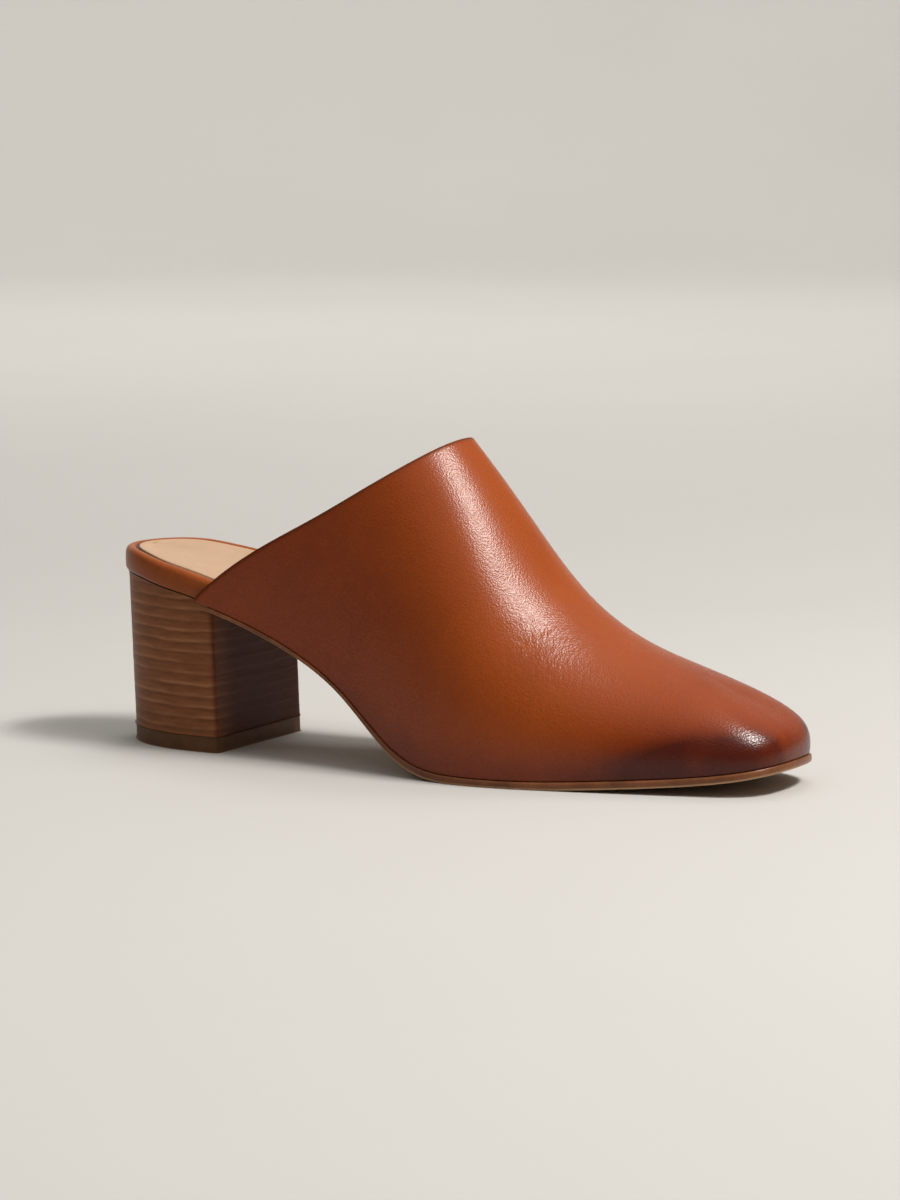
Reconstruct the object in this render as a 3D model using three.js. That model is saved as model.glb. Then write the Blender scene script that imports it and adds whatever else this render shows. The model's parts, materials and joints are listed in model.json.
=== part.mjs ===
// A right-foot block-heel mule: high closed vamp, open back, leather outsole, stacked heel.
// Millimetres, +X from heel to toe, +Y to the wearer's left (the inner side of a right shoe),
// +Z up. The shoe stands level on its forefoot and heel, and the origin is the bottom centre
// of its box.

import * as THREE from "three";

// ---------------------------------------------------------------- driving dimensions

const WALL = 2.0; // upper: outer leather and lining together
const GAP = 0.3; // air between two pieces that meet
const OUTSOLE_FOREPART = 2.6; // thickness under the ball and toe
const OUTSOLE_WAIST = 1.2; // thickness under the arch
const OUTSOLE_THICKENS = [90, 130]; // where it grows from one to the other, along the shoe
const OUTSOLE_LEDGE = 0.7; // how far the outsole stands out past the upper's lower edge
const OUTSOLE_BEVEL = [0.5, 0.3]; // its edge draws in this much at the bottom and the top
const FOOTBED_SEAT = 8; // wrapped insole board at the heel and waist
const FOOTBED_FOREPART = 3.4; // the same board under the ball and toe
const FOOTBED_THINS = [58, 118]; // where it gets thinner, along the shoe
const FOOTBED_EASE = 0.6; // rounding of its lower edge
const RIM_WIDTH = 4.2; // rolled leather rim round the sock
const RIM_ROLL = 1.6; // radius of its outer corner
const RIM_EASE = 0.4; // rounding where it turns down to the sock
const RIM_DEPTH = 1.5; // how deep the sock lies inside the rim
const SOCK = 1.2; // thickness of the insole sock
const SOCK_EASE = 0.4; // bevel of its upper edge
const HEEL_INSET = 1.2; // heel block behind the footbed's side
const HEEL_LEAN = 2.2; // the heel's foot stands this far forward of its seat
const HEEL_BREAST = 45.3; // front face of the heel at the seat, along the shoe
const SEAT_HEIGHT = 50; // height over which the heel leans
const TIP = 5.2; // top lift, the layer that meets the floor
const SPREAD = 0.15; // how far the top lift stands out past the heel block

const LEATHER = { color: 0x8a4320, roughness: 0.38, metalness: 0 };
const RIM_LEATHER = { color: 0x74391f, roughness: 0.45, metalness: 0 };
const SOCK_LEATHER = { color: 0xd6ab84, roughness: 0.6, metalness: 0 };
const SOLE_LEATHER = { color: 0xa5673a, roughness: 0.5, metalness: 0 };
const STACKED_LEATHER = { color: 0x5d4030, roughness: 0.6, metalness: 0 };
const TIP_RUBBER = { color: 0x4a3226, roughness: 0.7, metalness: 0 };

// The last, one row for each section from the toe tip round to the back of the heel.
// outer and inner are points of the footbed's outline, ridge is the crest of the upper over that
// section, swell is how far each side leans out, side is how high the side wall stays full, and
// crown is how flat the top is. Sections behind the topline only guide the surface.
const LAST = [
  // toe tip
  {
    outer: [238.4, 4.5], inner: [238.4, 4.5], ridge: [220, 5, 28.7],
    swell: [1.2, 1.2], side: [0.52, 0.52], crown: [0.76, 0.76],
  },
  {
    outer: [235.6, -10], inner: [235.6, 19.8], ridge: [217.5, 5, 29.9],
    swell: [1.4, 1.5], side: [0.42, 0.6], crown: [0.76, 0.78],
  },
  {
    outer: [224, -17.4], inner: [224.4, 28.2], ridge: [209.5, 4.8, 33.5],
    swell: [2, 1.8], side: [0.43, 0.58], crown: [0.74, 0.76],
  },
  {
    outer: [205.2, -23.2], inner: [205.6, 32.6], ridge: [195.5, 4.5, 38.7],
    swell: [3, 2.4], side: [0.49, 0.56], crown: [0.65, 0.64],
  },
  {
    outer: [184, -29.4], inner: [183.5, 35], ridge: [179, 4, 46.1],
    swell: [4, 3], side: [0.55, 0.56], crown: [0.58, 0.53],
  },
  // ball
  {
    outer: [160.5, -35.2], inner: [160.5, 35.2], ridge: [159.5, 3.5, 61.9],
    swell: [4, 3], side: [0.55, 0.55], crown: [0.55, 0.48],
  },
  {
    outer: [138, -36.5], inner: [138, 30.5], ridge: [138, 3, 89.1],
    swell: [2, 3], side: [0.55, 0.55], crown: [0.6, 0.54],
  },
  // instep and waist
  {
    outer: [112, -31], inner: [112, 26], ridge: [112, 3, 118.6],
    swell: [1, 3], side: [0.55, 0.55], crown: [0.64, 0.6],
  },
  {
    outer: [80, -26.8], inner: [80, 25], ridge: [80, 3, 151],
    swell: [1, 2], side: [0.55, 0.55], crown: [0.62, 0.62],
  },
  // heel breast
  {
    outer: [41, -27.3], inner: [41, 28.6], ridge: [41, 3, 191],
    swell: [1, 1], side: [0.55, 0.55], crown: [0.55, 0.55],
  },
  // round the heel seat
  { outer: [22, -25.2], inner: [22, 26.4] },
  { outer: [7.4, -17], inner: [7.4, 18] },
  { outer: [-0.9, 0.4], inner: [-0.9, 0.4] },
];

// Height of the feather plane, where upper, footbed, outsole and heel meet.
const SEAT_LINE = [
  { x: -6, z: 56.3 },
  { x: 4, z: 56.5 },
  { x: 14, z: 55.8 },
  { x: 24, z: 53.9 },
  { x: 34, z: 51.9 },
  { x: 44, z: 49.3 },
  { x: 62, z: 43.4 },
  { x: 81, z: 35 },
  { x: 96.5, z: 25.4 },
  { x: 108, z: 16 },
  { x: 118, z: 8.7 },
  { x: 130, z: 4 },
  { x: 145, z: 2.7 },
  { x: 166, z: 2.7 },
  { x: 190, z: 3.9 },
  { x: 215, z: 5.9 },
  { x: 232, z: 8.2 },
  { x: 246, z: 11.2 },
];

// The open edge of the vamp, seen from the side, from the heel breast up to the instep.
const TOPLINE = [
  { x: 36, z: 44.5 },
  { x: 41, z: 50.6 },
  { x: 47, z: 56.1 },
  { x: 64, z: 67.8 },
  { x: 85, z: 79.3 },
  { x: 105, z: 91.2 },
  { x: 119, z: 100.3 },
  { x: 125, z: 104.7 },
  { x: 131, z: 109.3 },
];

const BREAST_ROW = 9; // last section that the upper reaches
const CUT_FROM_ROW = 4.5; // the topline lies behind this section
const BACK_ROW = LAST.length - 1; // centre back of the heel
const LOOP = 2 * BACK_ROW; // sections once round the outline
const OVERLAP = 5; // sections repeated so that the outline closes smoothly

const UPPER_LENGTHWISE = 30; // faces from the toe tip to the topline
const UPPER_ACROSS = 18; // faces from the lower edge to the crest
const STEPS_PER_SECTION = 5; // faces along a slab for each section of the last
const TOPLINE_SAMPLES = 160; // points tried along the open edge on each side
const TOPLINE_CROWDING = 1.6; // how far those points crowd towards the lower end
const BISECTIONS = 40; // halvings when a crossing is looked for

// ---------------------------------------------------------------- curves

// Natural cubic spline through (xs, ys); the result gives the value, or the slope if asked.
function spline(xs, ys) {
  const n = xs.length;
  const bend = new Array(n).fill(0);
  const work = new Array(n).fill(0);
  for (let i = 1; i < n - 1; i++) {
    const before = xs[i] - xs[i - 1];
    const after = xs[i + 1] - xs[i];
    const rise = (ys[i + 1] - ys[i]) / after - (ys[i] - ys[i - 1]) / before;
    const pivot = 2 * (before + after) - before * work[i - 1];
    work[i] = after / pivot;
    bend[i] = (6 * rise - before * bend[i - 1]) / pivot;
  }
  for (let i = n - 2; i > 0; i--) bend[i] -= work[i] * bend[i + 1];
  return (x, slope = false) => {
    let i = 0;
    while (i < n - 2 && x > xs[i + 1]) i++;
    const h = xs[i + 1] - xs[i];
    const a = (xs[i + 1] - x) / h;
    const b = (x - xs[i]) / h;
    if (slope) {
      const curve = (3 * b * b - 1) * bend[i + 1] - (3 * a * a - 1) * bend[i];
      return (ys[i + 1] - ys[i]) / h + (curve * h) / 6;
    }
    const curve = (a ** 3 - a) * bend[i] + (b ** 3 - b) * bend[i + 1];
    return a * ys[i] + b * ys[i + 1] + (curve * h * h) / 6;
  };
}

const seatLine = spline(SEAT_LINE.map((p) => p.x), SEAT_LINE.map((p) => p.z));
const topline = spline(TOPLINE.map((p) => p.x), TOPLINE.map((p) => p.z));

// The outline runs from the tip along the outer side, round the heel and back along the inner.
const around = [];
for (let i = -OVERLAP; i <= LOOP + OVERLAP; i++) {
  const t = (i + LOOP) % LOOP;
  around.push({ i, p: t <= BACK_ROW ? LAST[t].outer : LAST[LOOP - t].inner });
}
const outlineX = spline(around.map((a) => a.i), around.map((a) => a.p[0]));
const outlineY = spline(around.map((a) => a.i), around.map((a) => a.p[1]));

// A column of the last along the sections, even about the toe tip so that it starts level.
function column(read) {
  const steps = [];
  for (let i = -BREAST_ROW; i <= BREAST_ROW; i++) steps.push(i);
  return spline(steps, steps.map((i) => read(LAST[Math.abs(i)])));
}
const ridgeX = column((row) => row.ridge[0]);
const ridgeY = column((row) => row.ridge[1]);
const ridgeZ = column((row) => row.ridge[2]);
const fullness = [0, 1].map((s) => column((row) => row.side[s]));
const swell = [0, 1].map((s) => column((row) => row.swell[s]));
const crown = [0, 1].map((s) => column((row) => row.crown[s]));

// side 0 is the outer side, 1 the inner. grow moves the outline outwards.
function outline(section, side, grow) {
  const t = side === 0 ? section : LOOP - section;
  const dx = outlineX(t, true);
  const dy = outlineY(t, true);
  const length = Math.hypot(dx, dy);
  return new THREE.Vector2(outlineX(t) - (dy / length) * grow, outlineY(t) + (dx / length) * grow);
}

function smoothstep(x, from, to) {
  const t = Math.min(1, Math.max(0, (x - from) / (to - from)));
  return t * t * (3 - 2 * t);
}

// ---------------------------------------------------------------- upper

// A point of the upper's outer face: section along the last, q from the lower edge to the crest.
function lastPoint(section, q, side) {
  const foot = outline(section, side, WALL + GAP);
  const footZ = seatLine(foot.x);
  const crest = new THREE.Vector3(ridgeX(section), ridgeY(section), ridgeZ(section));
  const inward = new THREE.Vector2(crest.x - foot.x, crest.y - foot.y);
  const width = inward.length();
  inward.normalize();
  const alongRidge = Math.hypot(section, 1); // the slope stays that of the first rows at the tip
  const ridgeSlope = ridgeZ(alongRidge, true) / ridgeX(alongRidge, true);
  const lean = swell[side](section);
  const flat = crown[side](section) * width;
  const curve = new THREE.CubicBezierCurve3(
    new THREE.Vector3(foot.x, foot.y, footZ),
    new THREE.Vector3(
      foot.x - inward.x * lean,
      foot.y - inward.y * lean,
      footZ + fullness[side](section) * (crest.z - footZ),
    ),
    new THREE.Vector3(
      crest.x - inward.x * flat,
      crest.y - inward.y * flat,
      crest.z - inward.x * flat * ridgeSlope,
    ),
    crest,
  );
  return curve.getPoint(q);
}

// The section at which the surface crosses the topline, at height q on one side.
function toplineSection(q, side) {
  let low = CUT_FROM_ROW;
  let high = BREAST_ROW;
  for (let i = 0; i < BISECTIONS; i++) {
    const middle = (low + high) / 2;
    const p = lastPoint(middle, q, side);
    if (p.z < topline(p.x)) low = middle;
    else high = middle;
  }
  return (low + high) / 2;
}

// The topline as pairs of q and section, evenly spaced along the edge.
function toplineEdge(side) {
  const samples = [];
  let travelled = 0;
  for (let i = 0; i <= TOPLINE_SAMPLES; i++) {
    const q = (i / TOPLINE_SAMPLES) ** TOPLINE_CROWDING;
    const section = toplineSection(q, side);
    const point = lastPoint(section, q, side);
    if (i > 0) travelled += point.distanceTo(samples[i - 1].point);
    samples.push({ q, section, point, travelled });
  }
  const edge = [];
  let at = 0;
  for (let j = 0; j <= UPPER_ACROSS; j++) {
    const want = (travelled * j) / UPPER_ACROSS;
    while (at < TOPLINE_SAMPLES - 1 && samples[at + 1].travelled < want) at++;
    const [a, b] = [samples[at], samples[at + 1]];
    const f = Math.min(1, (want - a.travelled) / (b.travelled - a.travelled));
    edge.push({ q: a.q + (b.q - a.q) * f, section: a.section + (b.section - a.section) * f });
  }
  edge[UPPER_ACROSS] = { q: 1, section: samples[TOPLINE_SAMPLES].section };
  return edge;
}

// Joins an outer sheet to its copy moved in by the wall, and closes them along the rim.
function shell(points, faces, rim, wall) {
  const sheet = new THREE.BufferGeometry().setFromPoints(points);
  sheet.setIndex(faces.flat());
  sheet.computeVertexNormals();
  const normal = sheet.getAttribute("normal");
  const inner = points.map((p, i) => {
    return p.clone().addScaledVector(new THREE.Vector3().fromBufferAttribute(normal, i), -wall);
  });
  const n = points.length;
  const index = faces.flat();
  for (const [a, b, c] of faces) index.push(n + a, n + c, n + b);
  rim.forEach((a, i) => {
    const b = rim[(i + 1) % rim.length];
    index.push(b, a, n + a, b, n + a, n + b);
  });
  const solid = new THREE.BufferGeometry().setFromPoints([...points, ...inner]);
  solid.setIndex(index);
  return solid;
}

function upper() {
  const points = [];
  const ids = new Map();
  const edges = [toplineEdge(0), toplineEdge(1)];
  const crestEnd = edges[0][UPPER_ACROSS].section;
  // k runs from the outer topline (negative) past the toe tip (0) to the inner topline.
  const id = (k, j) => {
    const key = j === UPPER_ACROSS ? `${-Math.abs(k)},${j}` : `${k},${j}`;
    if (!ids.has(key)) {
      const side = k > 0 && j < UPPER_ACROSS ? 1 : 0;
      const v = Math.abs(k) / UPPER_LENGTHWISE;
      const edge = edges[side][j];
      const w = j / UPPER_ACROSS;
      const q = w * (1 - v * v) + edge.q * v * v;
      const end = j === UPPER_ACROSS ? crestEnd : edge.section;
      ids.set(key, points.length);
      points.push(lastPoint(v * end, q, side));
    }
    return ids.get(key);
  };
  const faces = [];
  for (let k = -UPPER_LENGTHWISE; k < UPPER_LENGTHWISE; k++) {
    for (let j = 0; j < UPPER_ACROSS; j++) {
      const [a, b, c, d] = [id(k, j), id(k + 1, j), id(k + 1, j + 1), id(k, j + 1)];
      faces.push([a, b, c], [a, c, d]);
    }
  }
  const rim = [];
  for (let k = -UPPER_LENGTHWISE; k <= UPPER_LENGTHWISE; k++) rim.push(id(k, 0));
  for (let j = 1; j <= UPPER_ACROSS; j++) rim.push(id(UPPER_LENGTHWISE, j));
  for (let j = UPPER_ACROSS - 1; j > 0; j--) rim.push(id(-UPPER_LENGTHWISE, j));
  return shell(points, faces, rim, WALL);
}

// ---------------------------------------------------------------- flat pieces

// A closed solid from rings, lowest first. Each ring gives the point at a section and side;
// sections run from the front of the piece to its back.
function slab(sections, rings) {
  const count = sections.length;
  const pointed = (i) => (i === 0 && sections[0] === 0) || sections[i] === BACK_ROW;
  const loop = [];
  for (let i = 0; i < count; i++) loop.push([i, 0]);
  for (let i = count - 1; i >= 0; i--) if (!pointed(i)) loop.push([i, 1]);
  const size = loop.length;
  const points = rings.flatMap((ring) => loop.map(([i, side]) => ring(sections[i], side)));
  const at = (i, side) => loop.findIndex(([a, b]) => a === i && (b === side || pointed(i)));
  const index = [];
  for (let r = 0; r + 1 < rings.length; r++) {
    for (let a = 0; a < size; a++) {
      const b = (a + 1) % size;
      const [low, high] = [r * size, (r + 1) * size];
      index.push(low + a, high + b, low + b, low + a, high + a, high + b);
    }
  }
  const top = (rings.length - 1) * size;
  for (let i = 0; i + 1 < count; i++) {
    const [a, b, c, d] = [at(i, 0), at(i + 1, 0), at(i + 1, 1), at(i, 1)];
    for (const [p, q, r] of [[a, b, c], [a, c, d]]) {
      if (p === q || q === r || r === p) continue;
      index.push(p, q, r, top + p, top + r, top + q);
    }
  }
  const solid = new THREE.BufferGeometry().setFromPoints(points);
  solid.setIndex(index);
  return solid;
}

function ring(grow, height) {
  return (section, side) => {
    const p = outline(section, side, grow);
    return new THREE.Vector3(p.x, p.y, height(p.x));
  };
}

function sectionsBetween(from, to) {
  const count = Math.ceil((to - from) * STEPS_PER_SECTION);
  return Array.from({ length: count + 1 }, (_, i) => from + ((to - from) * i) / count);
}

// The section at which the outline passes a place along the shoe, behind the ball.
function sectionAt(x) {
  let low = CUT_FROM_ROW;
  let high = BACK_ROW;
  for (let i = 0; i < BISECTIONS; i++) {
    const middle = (low + high) / 2;
    if (outlineX(middle) > x) low = middle;
    else high = middle;
  }
  return low;
}

const wholeFoot = sectionsBetween(0, BACK_ROW);
const footbedTop = (x) => {
  const thin = smoothstep(x, ...FOOTBED_THINS);
  return seatLine(x) + FOOTBED_SEAT + (FOOTBED_FOREPART - FOOTBED_SEAT) * thin;
};

// Ends square against the heel breast and lies flat on the floor under the ball.
function outsole() {
  const sections = sectionsBetween(0, sectionAt(HEEL_BREAST + 2 * GAP));
  const ledge = WALL + GAP + OUTSOLE_LEDGE;
  const under = (x) => {
    const thick = OUTSOLE_WAIST + (OUTSOLE_FOREPART - OUTSOLE_WAIST) * smoothstep(x, ...OUTSOLE_THICKENS);
    return Math.max(0, seatLine(x) - GAP - thick);
  };
  const above = (x) => seatLine(x) - GAP;
  const halfway = (x) => (under(x) + above(x)) / 2;
  const [bottomBevel, topBevel] = OUTSOLE_BEVEL;
  return slab(sections, [
    ring(ledge - bottomBevel, under),
    ring(ledge, halfway),
    ring(ledge - topBevel, above),
  ]);
}

// The insole board in its leather wrap, with a rolled rim that the sock lies inside.
function footbed() {
  return slab(wholeFoot, [
    ring(-FOOTBED_EASE, seatLine),
    ring(0, (x) => seatLine(x) + FOOTBED_EASE),
    ring(0, (x) => footbedTop(x) - RIM_ROLL),
    ring(-RIM_ROLL * 0.3, (x) => footbedTop(x) - RIM_ROLL * 0.3),
    ring(-RIM_ROLL, footbedTop),
    ring(-RIM_WIDTH + RIM_EASE, (x) => footbedTop(x) - RIM_EASE),
    ring(-RIM_WIDTH, (x) => footbedTop(x) - RIM_DEPTH),
  ]);
}

function insoleSock() {
  const bottom = (x) => footbedTop(x) - RIM_DEPTH + GAP;
  return slab(wholeFoot, [
    ring(-RIM_WIDTH - GAP, bottom),
    ring(-RIM_WIDTH - GAP, (x) => bottom(x) + SOCK - SOCK_EASE),
    ring(-RIM_WIDTH - GAP - SOCK_EASE, (x) => bottom(x) + SOCK),
  ]);
}

// ---------------------------------------------------------------- heel

// The D-shaped section of the heel, which leans forward towards the floor.
function heelRing(grow, height) {
  return (section, side) => {
    const p = outline(section, side, grow - HEEL_INSET);
    const z = height(p.x);
    return new THREE.Vector3(p.x + HEEL_LEAN * (1 - z / SEAT_HEIGHT), p.y, z);
  };
}

const heelSections = sectionsBetween(sectionAt(HEEL_BREAST), BACK_ROW);

function heel() {
  return slab(heelSections, [
    heelRing(0, () => TIP + GAP),
    heelRing(0, () => SEAT_HEIGHT / 2),
    heelRing(0, (x) => seatLine(x) - GAP),
  ]);
}

function heelTip() {
  return slab(heelSections, [heelRing(SPREAD, () => 0), heelRing(SPREAD, () => TIP)]);
}

// ---------------------------------------------------------------- assembly

function piece(name, geometry, look) {
  const mesh = new THREE.Mesh(geometry, new THREE.MeshStandardMaterial(look));
  mesh.name = name;
  return mesh;
}

const shoe = new THREE.Group();
shoe.add(piece("outsole", outsole(), SOLE_LEATHER));
shoe.add(piece("heel", heel(), STACKED_LEATHER));
shoe.add(piece("heel_tip", heelTip(), TIP_RUBBER));
shoe.add(piece("footbed", footbed(), RIM_LEATHER));
shoe.add(piece("insole_sock", insoleSock(), SOCK_LEATHER));
shoe.add(piece("upper", upper(), LEATHER));

const box = new THREE.Box3().setFromObject(shoe);
const centre = box.getCenter(new THREE.Vector3());
shoe.position.set(-centre.x, -centre.y, -box.min.z);

export default shoe;
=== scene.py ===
import json
import math

import bpy
import numpy as np
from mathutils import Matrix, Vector

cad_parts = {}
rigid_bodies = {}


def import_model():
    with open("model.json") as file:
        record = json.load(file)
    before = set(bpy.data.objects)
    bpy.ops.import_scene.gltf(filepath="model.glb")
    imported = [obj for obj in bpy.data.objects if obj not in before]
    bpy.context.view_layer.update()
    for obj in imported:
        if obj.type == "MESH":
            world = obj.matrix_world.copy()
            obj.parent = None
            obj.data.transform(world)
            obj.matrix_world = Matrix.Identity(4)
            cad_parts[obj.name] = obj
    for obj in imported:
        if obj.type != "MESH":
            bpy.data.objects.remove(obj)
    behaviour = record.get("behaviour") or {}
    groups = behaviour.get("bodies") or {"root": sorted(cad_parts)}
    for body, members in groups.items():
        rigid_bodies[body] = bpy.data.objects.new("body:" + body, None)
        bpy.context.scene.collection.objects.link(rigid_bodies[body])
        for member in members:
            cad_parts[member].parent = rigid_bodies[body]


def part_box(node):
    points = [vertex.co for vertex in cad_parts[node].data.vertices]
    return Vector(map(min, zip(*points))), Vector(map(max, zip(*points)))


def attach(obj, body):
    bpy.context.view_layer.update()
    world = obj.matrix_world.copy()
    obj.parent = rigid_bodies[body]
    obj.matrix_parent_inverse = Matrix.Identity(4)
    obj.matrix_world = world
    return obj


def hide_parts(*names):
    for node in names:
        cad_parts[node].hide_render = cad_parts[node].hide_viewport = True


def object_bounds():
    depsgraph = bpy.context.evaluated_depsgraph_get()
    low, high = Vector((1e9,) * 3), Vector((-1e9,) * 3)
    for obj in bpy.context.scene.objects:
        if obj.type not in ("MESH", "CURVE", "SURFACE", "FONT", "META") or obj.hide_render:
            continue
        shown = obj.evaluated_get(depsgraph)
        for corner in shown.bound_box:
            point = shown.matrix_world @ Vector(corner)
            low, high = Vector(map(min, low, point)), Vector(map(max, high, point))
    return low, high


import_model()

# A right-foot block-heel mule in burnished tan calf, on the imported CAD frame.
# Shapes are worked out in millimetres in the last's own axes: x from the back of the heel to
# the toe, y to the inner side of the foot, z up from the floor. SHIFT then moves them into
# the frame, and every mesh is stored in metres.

CAD_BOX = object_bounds()
MM = 0.001

# ---------------------------------------------------------------- sizes, in millimetres

WALL = 2.0  # the CAD upper's wall, shared here by outer leather and lining
GAP = 0.3
OUTER_LEATHER = 1.2
LINING = 0.7
OUTSOLE_FOREPART = 2.6
OUTSOLE_WAIST = 1.2
OUTSOLE_LEDGE = 0.7
FOOTBED_SEAT = 8.0
FOOTBED_FOREPART = 3.4
RIM_WIDTH = 4.2
RIM_DEPTH = 1.5
SOCK = 1.2
HEEL_INSET = 1.2
HEEL_LEAN = 2.2
HEEL_BREAST = 45.3
SEAT_HEIGHT = 50.0
TIP = 5.2
FOOTBED_THINS = 58, 118  # x between which the footbed thins towards the ball
OUTSOLE_THICKENS = 90, 130  # x between which the outsole thickens
LAYER = 3.55  # one layer of the stacked heel
LAYERS = 19  # more than fit in its height

# The last, a row for each section from the toe tip round to the back of the heel: the
# outline's outer and inner point, the crest over it, how far each side leans out, how high
# the sides stay full and how flat the top is.
LAST = [
    dict(
        outer=(238.4, 4.5), inner=(238.4, 4.5), ridge=(220, 5, 28.7),
        swell=(1.2, 1.2), side=(0.52, 0.52), crown=(0.76, 0.76),
    ),
    dict(
        outer=(235.6, -10), inner=(235.6, 19.8), ridge=(217.5, 5, 29.9),
        swell=(1.4, 1.5), side=(0.42, 0.60), crown=(0.76, 0.78),
    ),
    dict(
        outer=(224, -17.4), inner=(224.4, 28.2), ridge=(209.5, 4.8, 33.5),
        swell=(2, 1.8), side=(0.43, 0.58), crown=(0.74, 0.76),
    ),
    dict(
        outer=(205.2, -23.2), inner=(205.6, 32.6), ridge=(195.5, 4.5, 38.7),
        swell=(3, 2.4), side=(0.49, 0.56), crown=(0.65, 0.64),
    ),
    dict(
        outer=(184, -29.4), inner=(183.5, 35), ridge=(179, 4, 46.1),
        swell=(4, 3), side=(0.55, 0.56), crown=(0.58, 0.53),
    ),
    dict(
        outer=(160.5, -35.2), inner=(160.5, 35.2), ridge=(159.5, 3.5, 61.9),
        swell=(4, 3), side=(0.55, 0.55), crown=(0.55, 0.48),
    ),
    dict(
        outer=(138, -36.5), inner=(138, 30.5), ridge=(138, 3, 89.1),
        swell=(2, 3), side=(0.55, 0.55), crown=(0.6, 0.54),
    ),
    dict(
        outer=(112, -31), inner=(112, 26), ridge=(112, 3, 118.6),
        swell=(1, 3), side=(0.55, 0.55), crown=(0.64, 0.6),
    ),
    dict(
        outer=(80, -26.8), inner=(80, 25), ridge=(80, 3, 151),
        swell=(1, 2), side=(0.55, 0.55), crown=(0.62, 0.62),
    ),
    dict(
        outer=(41, -27.3), inner=(41, 28.6), ridge=(41, 3, 191),
        swell=(1, 1), side=(0.55, 0.55), crown=(0.55, 0.55),
    ),
    dict(outer=(22, -25.2), inner=(22, 26.4)),
    dict(outer=(7.4, -17), inner=(7.4, 18)),
    dict(outer=(-0.9, 0.4), inner=(-0.9, 0.4)),
]
SEAT_LINE = dict(
    x=(-6, 4, 14, 24, 34, 44, 62, 81, 96.5, 108, 118, 130, 145, 166, 190, 215, 232, 246),
    z=(56.3, 56.5, 55.8, 53.9, 51.9, 49.3, 43.4, 35, 25.4, 16, 8.7, 4, 2.7, 2.7, 3.9, 5.9, 8.2, 11.2),
)
TOPLINE = dict(
    x=(36, 41, 47, 64, 85, 105, 119, 125, 131),
    z=(44.5, 50.6, 56.1, 67.8, 79.3, 91.2, 100.3, 104.7, 109.3),
)
BREAST_ROW = 9
CUT_FROM_ROW = 4.5
BACK_ROW = len(LAST) - 1
LOOP = 2 * BACK_ROW
OVERLAP = 5  # rows repeated past each end, so the closed outline has no seam
TOPLINE_SAMPLES, TOPLINE_CROWDING, BISECTIONS = 241, 1.6, 40
SAMPLES = 2401  # along the outline, to find its furthest points
OUTER, INNER = 0, 1  # the two sides of the foot

# Soft folds where the vamp bends, as troughs from one point of the last (section, height) to
# another; depth and width in millimetres.
CREASES = [
    dict(side=OUTER, start=(4.66, 0.70), end=(5.10, 0.32), depth=0.085, width=1.5),
    dict(side=OUTER, start=(4.84, 0.66), end=(5.26, 0.36), depth=0.06, width=1.3),
    dict(side=OUTER, start=(4.54, 0.62), end=(4.94, 0.36), depth=0.05, width=1.3),
    dict(side=OUTER, start=(5.05, 0.58), end=(5.40, 0.34), depth=0.04, width=1.4),
    dict(side=OUTER, start=(4.60, 0.80), end=(5.20, 0.24), depth=0.12, width=6.0),
    dict(side=INNER, start=(4.62, 0.70), end=(5.02, 0.32), depth=0.085, width=1.5),
    dict(side=INNER, start=(4.80, 0.66), end=(5.18, 0.36), depth=0.06, width=1.3),
    dict(side=INNER, start=(4.50, 0.60), end=(4.86, 0.36), depth=0.05, width=1.3),
    dict(side=INNER, start=(4.56, 0.80), end=(5.12, 0.24), depth=0.12, width=6.0),
]


# ---------------------------------------------------------------- curves

class Spline:
    """Natural cubic spline; called with x it gives the value, or the slope if asked."""

    def __init__(self, xs, ys):
        self.x = np.asarray(xs, float)
        self.y = np.asarray(ys, float)
        n = len(self.x)
        h = np.diff(self.x)
        system = np.eye(n)
        right = np.zeros(n)
        for i in range(1, n - 1):
            system[i, i - 1 : i + 2] = h[i - 1], 2 * (h[i - 1] + h[i]), h[i]
            right[i] = 6 * ((self.y[i + 1] - self.y[i]) / h[i] - (self.y[i] - self.y[i - 1]) / h[i - 1])
        self.bend = np.linalg.solve(system, right)

    def __call__(self, x, slope=False):
        x = np.asarray(x, float)
        i = np.clip(np.searchsorted(self.x, x, side="left") - 1, 0, len(self.x) - 2)
        h = self.x[i + 1] - self.x[i]
        a = (self.x[i + 1] - x) / h
        b = (x - self.x[i]) / h
        if slope:
            curve = (3 * b * b - 1) * self.bend[i + 1] - (3 * a * a - 1) * self.bend[i]
            return (self.y[i + 1] - self.y[i]) / h + curve * h / 6
        curve = (a**3 - a) * self.bend[i] + (b**3 - b) * self.bend[i + 1]
        return a * self.y[i] + b * self.y[i + 1] + curve * h * h / 6


def smoothstep(x, low, high):
    t = np.clip((np.asarray(x, float) - low) / (high - low), 0, 1)
    return t * t * (3 - 2 * t)


seat_line = Spline(SEAT_LINE["x"], SEAT_LINE["z"])
topline = Spline(TOPLINE["x"], TOPLINE["z"])


def around(i):
    t = i % LOOP
    return LAST[t]["outer"] if t <= BACK_ROW else LAST[LOOP - t]["inner"]


LAPS = range(-OVERLAP, LOOP + OVERLAP + 1)
outline_x = Spline(list(LAPS), [around(i)[0] for i in LAPS])
outline_y = Spline(list(LAPS), [around(i)[1] for i in LAPS])


def column(name, item):
    steps = range(-BREAST_ROW, BREAST_ROW + 1)
    return Spline(list(steps), [LAST[abs(i)][name][item] for i in steps])


ridge = [column("ridge", i) for i in range(3)]
swell = [column("swell", side) for side in (OUTER, INNER)]
fullness = [column("side", side) for side in (OUTER, INNER)]
crown = [column("crown", side) for side in (OUTER, INNER)]


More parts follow.
